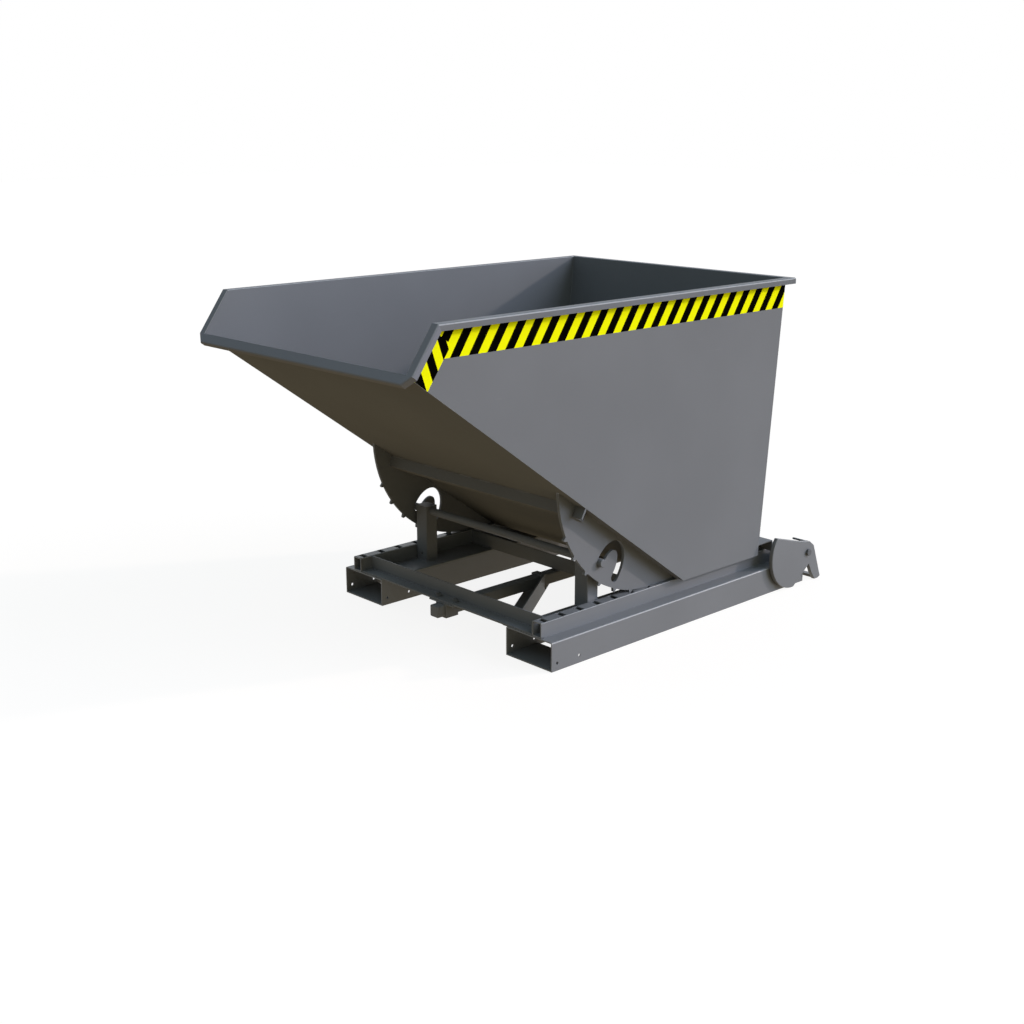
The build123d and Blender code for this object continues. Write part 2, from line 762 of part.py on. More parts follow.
def lock_plate():
    # A D-shaped weight in front of the pivot and an arm behind it.
    def weight_edge(degrees):
        angle = math.radians(degrees)
        reach = (lock_weight_radius * math.cos(angle), lock_weight_radius * math.sin(angle))
        return at_lock((lock_weight_centre[0] + reach[0], lock_weight_centre[1] + reach[1]))

    top = weight_edge(lock_weight_top_angle)
    tip = weight_edge(lock_weight_tip_angle)
    middle = weight_edge((lock_weight_top_angle + lock_weight_tip_angle) / 2)
    lowest = lock_weight_centre[1] - lock_weight_radius
    points = [(11, -47), (30, -84), (51, lowest), (71, lowest), (85, lowest + 6), (36, 20), (9, 40), (-39, 48)]
    rest = Polyline(tip, *[at_lock(point) for point in points], top)
    plate = make_face([ThreePointArc(top, middle, tip), rest])
    plate -= Pos(*at_lock((0, 0))) * Circle(lock_bolt_radius + running_clearance)
    return slab(plate, lock_inner_x, lock_outer_x)


def lock_strip(inner_x, corner, size):
    y, z = at_lock(corner)
    return block((inner_x, lock_inner_x), (y, y + size[0]), (z, z + size[1]))


def lock_block():
    # Hinge block on the pocket top, with a nose in front that the stop strip meets.
    swing = math.radians(lock_swing_degrees)
    front = lock_stop_from[0] / math.cos(swing) - lock_nose_top * math.tan(swing) - seat_gap
    foot = pocket_height - lock_pivot_z
    outline = polygon([at_lock(point) for point in [
        (-lock_block_half - lock_nose_width, foot),
        (lock_block_half, foot),
        (lock_block_half, lock_block_top),
        (front, lock_block_top),
        (front, lock_nose_top),
        (front - lock_nose_width, lock_nose_top),
        (-lock_block_half - lock_nose_width, lock_block_top),
    ]])
    outline -= Pos(*at_lock((0, 0))) * Circle(lock_bolt_radius + running_clearance)
    return slab(outline, lock_block_inner, lock_inner_x - seat_gap)


def lock_bolt():
    y, z = at_lock((0, 0))
    head_x = lock_outer_x + seat_gap
    hexagon = Pos(y, z) * RegularPolygon(lock_head_radius, 6)
    bolt = round_bar(y, z, lock_bolt_radius, lock_block_inner - lock_nut_height, head_x)
    bolt += slab(hexagon, head_x, head_x + lock_head_height)
    return bolt + slab(hexagon, lock_block_inner - lock_nut_height, lock_block_inner)


sides = {
    "fork_pocket": fork_pocket(),
    "front_strap": pocket_strap(pocket_front),
    "rear_strap": pocket_strap(pocket_rear - strap_length),
    "rail": rail(),
    "post": post(),
    "rocker": rocker(),
    "side_wall": side_wall(),
    "roll_plug": roll_plug(),
    "top_rim": side_rims()[0],
    "front_rim": side_rims()[1],
    "lip_end": lip_end(),
    "hazard_tape": hazard_tape(),
    "lock_plate": lock_plate(),
    "lock_bar": lock_strip(lock_bar_inner, lock_bar_from, lock_bar_size),
    "lock_stop": lock_strip(lock_bar_inner, lock_stop_from, lock_stop_size),
    "lock_block": lock_block(),
    "lock_bolt": lock_bolt(),
}

parts = {
    "front_crossbeam": front_crossbeam(),
    "middle_crossbeam": crossbeam(middle_beam_y, 1),
    "rear_crossbeam": crossbeam(rear_beam_y, 1),
    "guide_rod": guide_rod(),
    "bar_sleeve": bar_sleeve(),
    "sleeve_bolts": Compound(children=[sleeve_bolt(-sleeve_bolt_x), sleeve_bolt(sleeve_bolt_x)]),
    "bar_guide": bar_guide(),
    "diagonal_brace": diagonal_brace(),
    "latch_bracket": latch_bracket(),
    "latch_pin": latch_pin(),
    "latch_hook": latch_hook(),
    "push_bar": push_bar(),
    "push_bar_plug": push_bar_plug(),
    "push_bar_nose": push_bar_nose(),
    "rear_rim": rear_rim(),
    "front_lip": front_lip(),
    "cross_stiffener": cross_stiffener(),
    "box_beam": box_beam(),
}
parts.update(shell_sheets())
for name, part in sides.items():
    parts[name + "_right"] = part
    parts[name + "_left"] = left_of(part)

boxes = [part.bounding_box() for part in parts.values()]
middle_y = (min(box.min.Y for box in boxes) + max(box.max.Y for box in boxes)) / 2
os.makedirs("parts", exist_ok=True)
for name, part in parts.items():
    export_step(Pos(0, -middle_y, 0) * part, "parts/" + name + ".step")
print("parts", len(parts), "moved back by", round(middle_y, 4), "bar travel", round(bar_travel, 4))
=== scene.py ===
import math
import random

import bmesh
import bpy
from mathutils import Matrix, Vector


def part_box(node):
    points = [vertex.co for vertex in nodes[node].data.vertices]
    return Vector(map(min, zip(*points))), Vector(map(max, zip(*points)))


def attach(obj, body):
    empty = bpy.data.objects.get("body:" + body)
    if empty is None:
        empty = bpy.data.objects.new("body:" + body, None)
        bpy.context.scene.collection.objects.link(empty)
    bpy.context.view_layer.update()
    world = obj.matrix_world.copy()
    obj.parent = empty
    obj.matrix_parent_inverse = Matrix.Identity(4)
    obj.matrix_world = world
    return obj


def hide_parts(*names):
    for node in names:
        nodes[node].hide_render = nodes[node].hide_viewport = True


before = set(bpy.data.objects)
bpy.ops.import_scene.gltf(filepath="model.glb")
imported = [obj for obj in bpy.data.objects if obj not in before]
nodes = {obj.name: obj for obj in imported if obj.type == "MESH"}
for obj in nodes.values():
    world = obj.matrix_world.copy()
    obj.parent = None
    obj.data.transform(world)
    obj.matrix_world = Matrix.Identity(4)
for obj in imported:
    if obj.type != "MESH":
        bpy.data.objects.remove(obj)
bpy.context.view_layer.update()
random.seed(7)
print("frame loaded:", len(nodes), "nodes")


class Wire:
    # A shader socket that can be used in sums like a number.
    def __init__(self, tree, socket=None):
        self.tree = tree
        self.socket = socket

    def node(self, kind, settings=None, inputs=None, output=0):
        made = self.tree.nodes.new("ShaderNode" + kind)
        for name, value in (settings or {}).items():
            setattr(made, name, value)
        self.feed(made, inputs or {})
        return Wire(self.tree, made.outputs[output])

    def feed(self, target, inputs):
        for key, value in inputs.items():
            if isinstance(value, Wire):
                self.tree.links.new(value.socket, target.inputs[key])
            else:
                target.inputs[key].default_value = value

    def math(self, operation, *values):
        return self.node("Math", {"operation": operation}, dict(enumerate(values)))

    def vector(self, operation, *values, output=0):
        return self.node("VectorMath", {"operation": operation}, dict(enumerate(values)), output)

    def __add__(self, other):
        return self.math("ADD", self, other)

    __radd__ = __add__

    def __sub__(self, other):
        return self.math("SUBTRACT", self, other)

    def __rsub__(self, other):
        return self.math("SUBTRACT", other, self)

    def __mul__(self, other):
        return self.math("MULTIPLY", self, other)

    __rmul__ = __mul__

    def __truediv__(self, other):
        return self.math("DIVIDE", self, other)

    def __rtruediv__(self, other):
        return self.math("DIVIDE", other, self)

    def __lt__(self, other):
        return self.math("LESS_THAN", self, other)

    def __abs__(self):
        return self.math("ABSOLUTE", self)

    def fraction(self):
        return self.math("FRACT", self)

    def larger(self, other):
        return self.math("MAXIMUM", self, other)

    def between(self, low, high):
        # 0 at low and 1 at high, with a soft step; low may be the greater of the two.
        shape = {"interpolation_type": "SMOOTHSTEP", "clamp": True}
        return self.node("MapRange", shape, {0: self, 1: low, 2: high, 3: 0.0, 4: 1.0})

    def mix(self, first, second):
        # The first colour where this is 0 and the second where it is 1.
        return self.node("Mix", {"data_type": "RGBA"}, {0: self, 6: first, 7: second}, 2)

    def axes(self):
        made = self.node("SeparateXYZ", inputs={0: self}).socket.node
        return [Wire(self.tree, out) for out in made.outputs]

    def noise(self, scale, detail=2.0, rough=0.5, stretch=None):
        place = self.vector("MULTIPLY", self, stretch) if stretch else self
        values = {"Vector": place, "Scale": scale, "Detail": detail, "Roughness": rough}
        return self.node("TexNoise", inputs=values)

    def bump(self, strength, distance):
        values = {"Strength": strength, "Distance": distance, "Height": self}
        return self.node("Bump", inputs=values)


def newMaterial(name):
    material = bpy.data.materials.new(name)
    material.use_nodes = True
    shader = material.node_tree.nodes["Principled BSDF"]
    return material, shader, Wire(material.node_tree)


def colour(rgb, scale=1.0):
    return (*[min(channel * scale, 1.0) for channel in rgb], 1.0)


def edgeMask(wire, radius):
    # 0 on flat faces, towards 1 on a corner sharper than the radius.
    normal = wire.node("NewGeometry", output="Normal")
    rounded = wire.node("Bevel", {"samples": 4}, {"Radius": radius})
    return 1 - wire.vector("DOT_PRODUCT", normal, rounded, output="Value")


# Each band gives the two values between which a mask goes from none to all.
paint = {
    "colour": (0.180, 0.185, 0.197),
    "drift": 0.035, "driftScale": 2.2, "driftBand": (0.3, 0.7),
    "speck": 0.12, "speckScale": 520.0, "speckBand": (0.62, 0.75), "speckShade": 1.35,
    "dust": 0.10, "dustScale": 7.0, "dustBand": (0.38, 0.72), "dustUpBand": (0.55, 0.95),
    "dustColour": (0.25, 0.25, 0.25), "dustRough": 0.35,
    "roughness": 0.34, "roughDrift": 0.06, "roughBand": (0.25, 0.75), "specular": 0.04,
    "peel": 0.5, "peelScale": 420.0, "wave": 0.8, "waveScale": 11.0, "bump": 0.16, "bumpDepth": 0.001,
    "scuffScale": 30.0, "scuffStretch": (1.0, 1.0, 1.0), "scuffBand": (0.64, 0.72),
    "scuffPatchScale": 9.0, "scuffPatchBand": (0.45, 0.7),
    "scuffColour": (0.228, 0.231, 0.24), "scuffRough": 0.15,
    # These keys paint a highlight, lighter than the paint, onto rounded folds where the key light glints
    # off them.
    "foldColour": (0.40, 0.405, 0.415), "foldSideBand": (0.3, 0.6),
    "foldUpBand": (0.15, 0.35), "foldTopBand": (0.85, 0.65), "foldPatchBand": (0.2, 0.5), "foldLeast": 0.6,
    "chipScale": 70.0, "chipBand": (0.42, 0.66), "wearRadius": 0.0016, "wearBand": (0.015, 0.12),
    "bareColour": (0.29, 0.29, 0.297), "bareMetal": 0.8,
}


def paintMaterial(name, spec):
    material, shader, wire = newMaterial(name)
    place = wire.node("TexCoord", output="Object")
    upward = wire.node("NewGeometry", output="Normal").axes()[2]
    base = spec["colour"]
    drift = place.noise(spec["driftScale"], 3.0)
    dark, light = colour(base, 1 - spec["drift"]), colour(base, 1 + spec["drift"])
    shade = drift.between(*spec["driftBand"]).mix(dark, light)
    speck = place.noise(spec["speckScale"], 2.0).between(*spec["speckBand"]) * spec["speck"]
    shade = speck.mix(shade, colour(base, spec["speckShade"]))
    # Dust settles on faces that look up, in soft patches.
    patch = place.noise(spec["dustScale"], 4.0, 0.6).between(*spec["dustBand"])
    dust = upward.between(*spec["dustUpBand"]) * patch * spec["dust"]
    shade = dust.mix(shade, colour(spec["dustColour"]))
    rough = drift.between(*spec["roughBand"]) * spec["roughDrift"] + spec["roughness"]
    rough = rough + dust * spec["dustRough"]
    metal = 0.0
    if spec.get("scuff"):
        # Fine scratches that run one way, broken up by a second noise.
        lines = place.noise(spec["scuffScale"], 2.0, 0.6, spec["scuffStretch"]).between(*spec["scuffBand"])
        patch = place.noise(spec["scuffPatchScale"], 3.0).between(*spec["scuffPatchBand"])
        scuff = lines * patch * spec["scuff"]
        shade = scuff.mix(shade, colour(spec["scuffColour"]))
        rough = rough + scuff * spec["scuffRough"]
    if spec.get("fold"):
        # Painted highlight: folds between a top and a side are painted lighter where the key light glints
        # off them; flat faces never lean both ways.
        leanX, _, leanZ = wire.node("TexCoord", output="Normal").axes()
        lean = abs(leanX).between(*spec["foldSideBand"])
        lean = lean * leanZ.between(*spec["foldUpBand"]) * leanZ.between(*spec["foldTopBand"])
        # The painted highlight comes and goes along each fold in patches.
        highlightPatch = place.noise(spec["chipScale"], 3.0).between(*spec["foldPatchBand"])
        highlightPatch = highlightPatch * (1 - spec["foldLeast"]) + spec["foldLeast"]
        shade = (lean * highlightPatch * spec["fold"]).mix(shade, colour(spec["foldColour"]))
    if spec.get("wear"):
        chips = place.noise(spec["chipScale"], 5.0, 0.65).between(*spec["chipBand"])
        bare = edgeMask(wire, spec["wearRadius"]).between(*spec["wearBand"]) * chips * spec["wear"]
        shade = bare.mix(shade, colour(spec["bareColour"]))
        metal = bare * spec["bareMetal"]
    peel = place.noise(spec["peelScale"], 2.0, 0.5)
    wave = place.noise(spec["waveScale"], 1.0)
    wire.feed(shader, {
        "Base Color": shade,
        "Roughness": rough,
        "Metallic": metal,
        "Normal": (peel * spec["peel"] + wave * spec["wave"]).bump(spec["bump"], spec["bumpDepth"]),
        "Specular IOR Level": spec["specular"],
    })
    return material


# The shell, trim, lip and base paints carry the painted fold highlight.
shellPaint = paintMaterial("shellPaint", {
    **paint, "scuff": 0.22, "scuffStretch": (1.0, 0.35, 6.0), "specular": 0.12, "fold": 0.8,
})
innerPaint = paintMaterial("innerPaint", {
    **paint, "scuff": 0.45, "scuffScale": 22.0, "scuffStretch": (7.0, 0.5, 0.5),
    "dust": 0.2, "wear": 0.25, "specular": 0.0,
})
trim = {**paint, "scuff": 0.15, "scuffStretch": (4.0, 0.6, 4.0)}
trimPaint = paintMaterial("trimPaint", {**trim, "wear": 0.35, "specular": 0.02, "fold": 1.0})
# Painted light: the lip and the front rims wear a lighter, bluer copy of the trim paint, standing in for
# soft light that falls on them from the front.
lipPaintLit = paintMaterial("lipPaintLit", {
    **trim, "colour": (0.212, 0.218, 0.248), "wear": 0.12, "specular": 0.0, "fold": 0.45,
})
steelwork = {
    **paint, "wear": 0.45, "dust": 0.22, "drift": 0.05, "scuff": 0.3, "scuffStretch": (3.0, 0.4, 6.0),
}
framePaint = paintMaterial("framePaint", steelwork)
basePaint = paintMaterial("basePaint", {**steelwork, "specular": 0.22, "fold": 0.8})
gearPaint = paintMaterial("gearPaint", {
    **paint, "wear": 0.8, "wearRadius": 0.0024, "scuff": 0.4, "scuffStretch": (1.0, 5.0, 5.0),
    "roughness": 0.46,
})
weldPaint = paintMaterial("weldPaint", {
    **paint, "roughness": 0.36, "peelScale": 260.0, "bump": 0.3, "drift": 0.07,
})
boltPaint = paintMaterial("boltPaint", {
    **paint, "colour": (0.136, 0.139, 0.147), "wear": 0.5, "wearRadius": 0.001, "chipScale": 160.0,
    "dust": 0.05, "roughness": 0.36,
})
print("paint ready")

# The lowest point of the hopper's front edge, which the tape's stripes are measured from, back and up.
wallLow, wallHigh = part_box("side_wall_right")
edgeDrop = 0.1298
edgeFoot = (wallLow.y, wallHigh.z - edgeDrop)
tape = {
    "yellow": (1.0, 1.0, 0.004), "black": (0.002, 0.002, 0.001),
    "topPitch": 0.0679, "topLean": 0.66, "topStart": (0.2025, 0.1053), "topBlack": 0.505,
    "edgeAngle": 54.4,
    "frontPitch": 0.0548, "frontNormal": (0.944, 0.33), "frontStart": 0.0765, "frontBlack": 0.50,
    "frontWidth": 0.0905, "frontEnd": 0.1455,
    "soil": 0.03, "soilScale": 24.0, "soilBand": (0.45, 0.8), "soilColour": (0.10, 0.095, 0.075),
    "roughness": 0.45, "roughSpread": 0.16, "roughScale": 60.0, "specular": 0.0,
    "cellScale": 900.0, "bump": 0.05, "bumpDepth": 0.0004,
}


def tapeMaterial(name, spec):
    material, shader, wire = newMaterial(name)
    place = wire.node("TexCoord", output="Object")
    _, y, z = place.axes()
    back, up = y - edgeFoot[0], z - edgeFoot[1]
    edge = math.radians(spec["edgeAngle"])
    edgeBack, edgeUp = math.cos(edge), math.sin(edge)
    # How far a point is from the hopper's front edge, and how far along it.
    inFromEdge = back * edgeUp - up * edgeBack
    along = back * edgeBack + up * edgeUp
    onFront = (inFromEdge < spec["frontWidth"]) * (along < spec["frontEnd"])
    startBack, startUp = spec["topStart"]
    topAcross = (back - startBack) - (up - startUp) * spec["topLean"]
    topBlack = (topAcross / spec["topPitch"]).fraction() < spec["topBlack"]
    normalBack, normalUp = spec["frontNormal"]
    frontAcross = back * normalBack + up * normalUp - spec["frontStart"]
    frontBlack = (frontAcross / spec["frontPitch"]).fraction() < spec["frontBlack"]
    black = onFront * frontBlack + (1 - onFront) * topBlack
    soil = place.noise(spec["soilScale"], 4.0, 0.65).between(*spec["soilBand"]) * spec["soil"]
    stripes = black.mix(colour(spec["yellow"]), colour(spec["black"]))
    cells = wire.node("TexVoronoi", {"feature": "F1"}, {"Vector": place, "Scale": spec["cellScale"]})
    wire.feed(shader, {
        "Base Color": soil.mix(stripes, colour(spec["soilColour"])),
        "Roughness": place.noise(spec["roughScale"], 3.0) * spec["roughSpread"] + spec["roughness"] + soil,
        "Normal": cells.bump(spec["bump"], spec["bumpDepth"]),
        "Specular IOR Level": spec["specular"],
    })
    return material


hazardTape = tapeMaterial("hazardTape", tape)
print("tape ready")

# Which paint each CAD node wears; the others take the plain frame paint.
paints = {
    shellPaint: ["side_wall", "roll_plug"],
    innerPaint: ["floor_sheet", "bottom_plate", "back_sheet", "cross_stiffener"],
    trimPaint: ["top_rim", "rear_rim"],
    lipPaintLit: ["front_rim", "front_lip", "lip_end"],
    basePaint: ["fork_pocket", "rail", "lock_plate", "lock_bar", "lock_stop"],
    gearPaint: ["rocker", "guide_rod", "latch_hook", "push_bar_nose"],
    hazardTape: ["hazard_tape"],
    boltPaint: ["sleeve_bolts", "lock_bolt", "latch_pin"],
}
wears = {name: material for material, names in paints.items() for name in names}
# Rounded corners on the CAD nodes; flush pieces and those with their own folds get none.
rounding = {
    "default": 0.0008, "lock_plate": 0.002, "rocker": 0.0012,
    "hazard_tape": 0.0, "side_wall": 0.0, "roll_plug": 0.0, "fork_pocket": 0.0,
    "top_rim": 0.0, "front_rim": 0.0, "front_lip": 0.0, "lip_end": 0.0,
}
# Flat faces of these are made whole first, so that the rounding leaves no slivers beside a hole.
pierced = ["bar_sleeve", "front_crossbeam", "latch_bracket", "lock_block", "lock_plate", "rear_rim"]
cornerWork = {"mergeWithin": 1e-5, "flatWithin": 0.2, "segments": 2, "sharperThan": 35.0}


def kindOf(name):
    return name.removesuffix("_left").removesuffix("_right")


def roundCorners(node, kind, width, spec):
    weld = node.modifiers.new("weld", "WELD")
    weld.merge_threshold = spec["mergeWithin"]
    if kind in pierced:
        whole = node.modifiers.new("whole", "DECIMATE")
        whole.decimate_type = "DISSOLVE"
        whole.angle_limit = math.radians(spec["flatWithin"])
    bevel = node.modifiers.new("bevel", "BEVEL")
    bevel.width = width
    bevel.segments = spec["segments"]
    bevel.limit_method = "ANGLE"
    bevel.angle_limit = math.radians(spec["sharperThan"])
    bevel.harden_normals = True


for name, node in nodes.items():
    kind = kindOf(name)
    node.data.materials.clear()
    node.data.materials.append(wears.get(kind, framePaint))
    width = rounding.get(kind, rounding["default"])
    if width:
        roundCorners(node, kind, width, cornerWork)
print("CAD nodes dressed")


def meshOf(bm, name):
    bmesh.ops.recalc_face_normals(bm, faces=bm.faces)
    mesh = bpy.data.meshes.new(name)
    bm.to_mesh(mesh)
    bm.free()
    return mesh


def finishPiece(name, bm, material, body, smoothAngle=40.0):
    mesh = meshOf(bm, name)
    piece = bpy.data.objects.new(name, mesh)
    bpy.context.scene.collection.objects.link(piece)
    mesh.materials.append(material)
    mesh.polygons.foreach_set("use_smooth", [True] * len(mesh.polygons))
    mesh.set_sharp_from_angle(angle=math.radians(smoothAngle))
    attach(piece, body)
    return piece


def skin(bm, rings):
    # Quads between rings of the same number of points; both ends are capped.
    loops = [[bm.verts.new(point) for point in ring] for ring in rings]
    for first, second in zip(loops, loops[1:]):
        count = len(first)
        for i in range(count):
            j = (i + 1) % count
            bm.faces.new((first[i], first[j], second[j], second[i]))
    bm.faces.new(loops[0])
    bm.faces.new(loops[-1])


def turnsOf(count):
    # Angles evenly spread round a full turn.
    return [2 * math.pi * k / count for k in range(count)]


weldBead = {
    "radius": 0.0032, "ripple": 0.30, "step": 0.0042, "sides": 8, "wander": 0.0004,
    "taper": 0.006, "tip": 0.0008, "ringsPerStep": 3, "fewestRings": 6,
}
railBead = {**weldBead, "radius": 0.0022, "ripple": 0.15, "step": 0.009, "wander": 0.0002}


def addBead(bm, start, end, spec):
    # One run of weld: a rippled bead that swells and fades at its ends.
    length = (end - start).length
    ahead = (end - start).normalized()
    upright = abs(ahead.z) > 0.9
    side = ahead.cross(Vector((0, 1, 0)) if upright else Vector((0, 0, 1))).normalized()
    above = ahead.cross(side)
    steps = max(int(length / spec["step"]) * spec["ringsPerStep"], spec["fewestRings"])
    rings = []
    for step in range(steps + 1):
        at = length * step / steps
        swell = min(1.0, (min(at, length - at) + spec["tip"]) / spec["taper"]) ** 0.5
        ripple = 1 - spec["ripple"] * ((at / spec["step"]) % 1.0)
        radius = spec["radius"] * swell * ripple
        middle = start + ahead * at + side * random.uniform(-1, 1) * spec["wander"]
        rings.append([
            middle + side * math.cos(turn) * radius + above * math.sin(turn) * radius
            for turn in turnsOf(spec["sides"])
        ])
    skin(bm, rings)


def run(start, end):
    return Vector(start), Vector(end)


def stitches(start, end, length, pitch):
    # Runs of the given length, evenly spread between two points.
    whole = (end - start).length
    ahead = (end - start).normalized()
    count = max(int((whole - length) / pitch) + 1, 1)
    gap = (whole - length) / max(count - 1, 1)
    return [(start + ahead * gap * i, start + ahead * (gap * i + length)) for i in range(count)]


def bothSides(runs):
    flip = Matrix.Diagonal((-1, 1, 1))
    return runs + [(flip @ a, flip @ b) for a, b in runs]


railLow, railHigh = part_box("rail_right")
postLow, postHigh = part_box("post_right")
blockLow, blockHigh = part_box("lock_block_right")
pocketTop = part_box("fork_pocket_right")[1].z
frontLow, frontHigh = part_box("front_crossbeam")
middleLow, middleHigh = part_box("middle_crossbeam")
rearLow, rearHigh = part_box("rear_crossbeam")
floorLow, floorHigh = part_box("floor_sheet")
rockerLow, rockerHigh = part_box("rocker_right")
beamLow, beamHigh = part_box("box_beam")
backLow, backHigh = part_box("back_sheet")

# How far each run stops short of its piece's corners, or stands off them.
baseWeld = {
    "postEnd": 0.004,
    "uprightFoot": 0.008, "uprightTop": 0.004,
    "legFront": 0.008, "legRear": 0.003, "legUp": 0.005, "toeFrom": 0.11, "toeTo": 0.05,
    "blockEnd": 0.004, "blockInner": 0.003,
}


def baseRuns(spec):
    runs = []
    corners = [
        (postHigh.x, postLow.y), (postLow.x, postLow.y), (postLow.x, postHigh.y), (postHigh.x, postHigh.y),
    ]
    for a, b in zip(corners, corners[1:]):
        first, second = run((*a, pocketTop), (*b, pocketTop))
        short = (second - first).normalized() * spec["postEnd"]
        runs.append((first + short, second - short))
    for low, high in ((frontLow, frontHigh), (middleLow, middleHigh), (rearLow, rearHigh)):
        x, legZ = high.x, pocketTop + spec["legUp"]
        foot, top = pocketTop + spec["uprightFoot"], high.z - spec["uprightTop"]
        runs.append(run((x, low.y, foot), (x, low.y, top)))
        runs.append(run((x, low.y + spec["legFront"], legZ), (x, high.y - spec["legRear"], legZ)))
        runs.append(run((x - spec["toeFrom"], high.y, pocketTop), (x - spec["toeTo"], high.y, pocketTop)))
    inner, outer = blockLow.x + spec["blockInner"], blockHigh.x - spec["blockEnd"]
    for y in (blockLow.y, blockHigh.y):
        runs.append(run((inner, y, pocketTop), (outer, y, pocketTop)))
    front, rear = blockLow.y + spec["blockEnd"], blockHigh.y - spec["blockEnd"]
    runs.append(run((blockLow.x, front, pocketTop), (blockLow.x, rear, pocketTop)))
    return bothSides(runs)


railWeld = {"inset": 0.0006, "end": 0.01}


def railRuns(spec):
    # Long slim beads that fill the rounded foot of each rail.
    z = pocketTop + spec["inset"]
    front, rear = railLow.y + spec["end"], railHigh.y - spec["end"]
    sides = (railLow.x + spec["inset"], railHigh.x - spec["inset"])
    return bothSides([run((x, front, z), (x, rear, z)) for x in sides])


# The floor's lower face as a line in (y, z), from the bottom fold to the lip.
foldPoint = Vector((0, floorHigh.y, floorLow.z))
lipPoint = Vector((0, *edgeFoot))
alongFloor = (lipPoint - foldPoint).normalized()


def onFloor(x, along):
    point = foldPoint + alongFloor * along
    return Vector((x, point.y, point.z))


hopperWeld = {
    "rockerFrom": 0.02, "rockerTo": 0.50, "rockerRun": 0.055, "rockerPitch": 0.13,
    "stiffenerAt": (0.528, 0.587), "stiffenerRun": 0.06, "stiffenerPitch": 0.15,
    "beamRun": 0.05, "beamPitch": 0.14, "middle": 0.02, "end": 0.01,
    "wallInset": 0.0005, "backFoot": (0.002, 0.006), "backTop": (0.004, 0.004),
}


def hopperRuns(spec):
    runs = []
    for x in (rockerLow.x, rockerHigh.x):
        first, last = onFloor(x, spec["rockerFrom"]), onFloor(x, spec["rockerTo"])
        runs += stitches(first, last, spec["rockerRun"], spec["rockerPitch"])
    for along in spec["stiffenerAt"]:
        first, last = onFloor(spec["middle"], along), onFloor(rockerLow.x - spec["end"], along)
        runs += stitches(first, last, spec["stiffenerRun"], spec["stiffenerPitch"])
    y, z = beamLow.y, beamHigh.z
    first, last = run((spec["middle"], y, z), (beamHigh.x - spec["end"], y, z))
    runs += stitches(first, last, spec["beamRun"], spec["beamPitch"])
    x = wallLow.x - spec["wallInset"]
    (footIn, footUp), (topIn, topDown) = spec["backFoot"], spec["backTop"]
    foot = (x, backLow.y + footIn, backLow.z + footUp)
    runs.append(run(foot, (x, backHigh.y - topIn, backHigh.z - topDown)))
    return bothSides(runs)


def weldPiece(name, runs, body, bead=weldBead):
    bm = bmesh.new()
    for start, end in runs:
        addBead(bm, start, end, bead)
    finishPiece(name, bm, weldPaint, body, 60.0)
    print(name, len(runs), "runs")


weldPiece("baseWelds", baseRuns(baseWeld), "base")
weldPiece("railWelds", railRuns(railWeld), "base", railBead)
weldPiece("hopperWelds", hopperRuns(hopperWeld), "hopper")

# The stiffener's front leg runs on past the rockers to the walls.
# Top, foot and thickness are measured along the floor, gap and depth out from it.
legEnd = {
    "top": 0.586, "foot": 0.582, "depth": 0.035, "thick": 0.007, "gap": 0.0003, "from": 0.463, "to": 0.4992,
}


def stiffenerEnds(spec):
    outward = Vector((0, -alongFloor.z, alongFloor.y))
    corners = [
        (spec["top"], spec["gap"]), (spec["foot"], spec["depth"]),
        (spec["foot"] - spec["thick"], spec["depth"]), (spec["top"] - spec["thick"], spec["gap"]),
    ]
    bm = bmesh.new()
    for sign in (-1, 1):
        ends = (sign * spec["from"], sign * spec["to"])
        skin(bm, [[onFloor(x, along) + outward * out for along, out in corners] for x in ends])
    finishPiece("stiffenerEnds", bm, innerPaint, "hopper")
    print("stiffener ends made")


stiffenerEnds(legEnd)


def turned(bm, profile, segments=32):
    # A body turned about z, from (radius, z) pairs.
    rings = []
    for radius, z in profile:
        rings.append([Vector((radius * math.cos(a), radius * math.sin(a), z)) for a in turnsOf(segments)])
    skin(bm, rings)


def hexagonal(bm, cornerRadius, low, high, chamferLow, chamferHigh, segments=48):
    # A hexagon whose ends are turned off at 30 degrees, as on a real nut.
    sixth = math.pi / 6
    flat = cornerRadius * math.cos(sixth)
    crown = 0.94 * flat  # radius of the flat round end
    fall = math.tan(math.radians(30))
    angles = turnsOf(segments)
    reach = [flat / math.cos((a + sixth) % (2 * sixth) - sixth) for a in angles]

    def ring(radii, z):
        return [Vector((r * math.cos(a), r * math.sin(a), z(r))) for r, a in zip(radii, angles)]

    rings = []
    if chamferLow:
        rings.append(ring([crown] * segments, lambda r: low))
    rings.append(ring(reach, lambda r: low + (max(r - crown, 0) * fall if chamferLow else 0)))
    rings.append(ring(reach, lambda r: high - (max(r - crown, 0) * fall if chamferHigh else 0)))
    if chamferHigh:
        rings.append(ring([crown] * segments, lambda r: high))
    skin(bm, rings)


def threaded(bm, radius, low, high, pitch, depth, segments=24):
    ringsPerTurn, endTaper = 6, 0.6
    steps = max(int((high - low) / pitch * ringsPerTurn), 2)
    rings = []
    for step in range(steps + 1):
        z = low + (high - low) * step / steps
        fade = min(1.0, (high - z) / pitch)
        ring = []
        for k, turn in enumerate(turnsOf(segments)):
            phase = ((z - low) / pitch - k / segments) % 1.0
            r = radius - depth * abs(2 * phase - 1) - depth * (1 - fade) * endTaper
            ring.append(Vector((r * math.cos(turn), r * math.sin(turn), z)))
        rings.append(ring)
    skin(bm, rings)


def washer(bm, bore, radius, low, high):
    edge = 0.0003
    outline = [(radius - edge, low), (radius, low + edge), (radius, high - edge), (radius - edge, high)]
    turned(bm, [(bore, low), *outline, (bore, high)])


